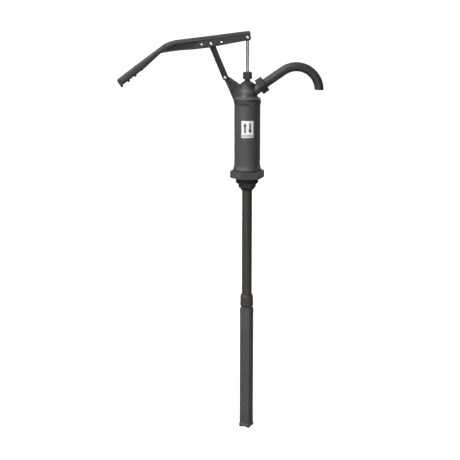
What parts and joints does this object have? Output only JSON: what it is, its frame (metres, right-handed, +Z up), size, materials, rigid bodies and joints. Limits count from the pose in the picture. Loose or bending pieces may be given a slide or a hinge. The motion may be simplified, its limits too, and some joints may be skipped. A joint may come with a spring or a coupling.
{
  "type": "lever-action drum pump",
  "caption": "Hand pump that screws into a drum's bung: a lever lifts the piston rod, a curved spout swivels, and a telescopic suction tube reaches down.",
  "frame": {"origin": "centre of the bung adapter's seating face, where the drum's bung holds the pump, on the pump's axis", "axes": "+Z up along the pump's axis, +X towards the spout, -X towards the handle, -Y the side with the label"},
  "size_m": [0.5334, 0.0864, 1.077],
  "materials": {
    "charcoal_body": "moulded charcoal polymer, satin, with a fine grain",
    "tube_grey": "moulded dark grey polymer with a cool tint, satin",
    "lever_black": "moulded near-black polymer, slightly warm, satin",
    "rod_steel": "ground stainless rod, bright",
    "rivet_steel": "domed steel rivets, bright",
    "seal_rubber": "black sealing rubber",
    "valve_nylon": "natural nylon",
    "label_film": null
  },
  "bodies": {
    "pump_body": {"pump_head": "charcoal_body", "cylinder": "charcoal_body", "head_seal": "seal_rubber", "bung_adapter": "charcoal_body", "cylinder_seal": "seal_rubber", "foot_valve_cage": "valve_nylon", "suction_tube": "charcoal_body", "tube_socket_seal": "seal_rubber", "packing_nut": "charcoal_body", "gland_packing": "seal_rubber", "spout_seal": "seal_rubber", "label": "label_film", "bracket_pin": "rivet_steel"},
    "rod": {"piston_rod": "rod_steel", "piston": "valve_nylon", "piston_cup_upper": "seal_rubber", "piston_cup_lower": "seal_rubber", "valve_stop_washer": "rod_steel", "piston_nut": "rod_steel"},
    "lever": {"lever": "lever_black", "rod_pin": "rivet_steel", "rod_spacer_front": "lever_black", "rod_spacer_rear": "lever_black", "lever_link_pin": "rivet_steel"},
    "link": {"link_front": "lever_black", "link_rear": "lever_black"},
    "piston_valve": {"piston_valve_disc": "valve_nylon"},
    "foot_valve": {"foot_valve_disc": "valve_nylon"},
    "extension": {"extension_tube": "tube_grey", "foot_strainer": "tube_grey", "clamp_ring": "valve_nylon"},
    "clamp": {"clamp_nut": "tube_grey"},
    "spout_pipe": {"spout": "charcoal_body"},
    "spout_union": {"spout_nut": "charcoal_body"}
  },
  "joints": [
    {"name": "rod_slide", "type": "slide", "parent": "pump_body", "child": "rod", "axis": [0, 0, -1], "range_m": [0, 0.07]},
    {"name": "lever_swing", "type": "hinge", "parent": "rod", "child": "lever", "pos_m": [0, 0, 0.3644], "axis": [0, 1, 0], "range_deg": [0, 48.85]},
    {"name": "link_rock", "type": "hinge", "parent": "pump_body", "child": "link", "pos_m": [-0.057, 0, 0.2615], "axis": [0, 1, 0], "range_deg": [0, 12.31]},
    {"name": "piston_valve_lift", "type": "slide", "parent": "rod", "child": "piston_valve", "axis": [0, 0, 1], "range_m": [0, 0.003]},
    {"name": "foot_valve_lift", "type": "slide", "parent": "pump_body", "child": "foot_valve", "axis": [0, 0, 1], "range_m": [0, 0.004]},
    {"name": "tube_telescope", "type": "slide", "parent": "pump_body", "child": "extension", "axis": [0, 0, -1], "range_m": [0, 0.22]},
    {"name": "clamp_nut_turn", "type": "hinge", "parent": "extension", "child": "clamp", "pos_m": [0, 0, -0.334], "axis": [0, 0, 1], "range_deg": [0, 180]},
    {"name": "spout_swivel", "type": "hinge", "parent": "pump_body", "child": "spout_pipe", "pos_m": [0, 0, 0.215], "axis": [0.8241, 0, 0.5664], "range_deg": [-90, 90]},
    {"name": "union_nut_turn", "type": "hinge", "parent": "pump_body", "child": "spout_union", "pos_m": [0, 0, 0.215], "axis": [0.8241, 0, 0.5664], "range_deg": [0, 180]}
  ],
  "couplings": [
    {"joint": "rod_slide", "follows": "lever_swing", "m_per_rad": 0.082092},
    {"joint": "link_rock", "follows": "lever_swing", "ratio": 0.25192}
  ]
}
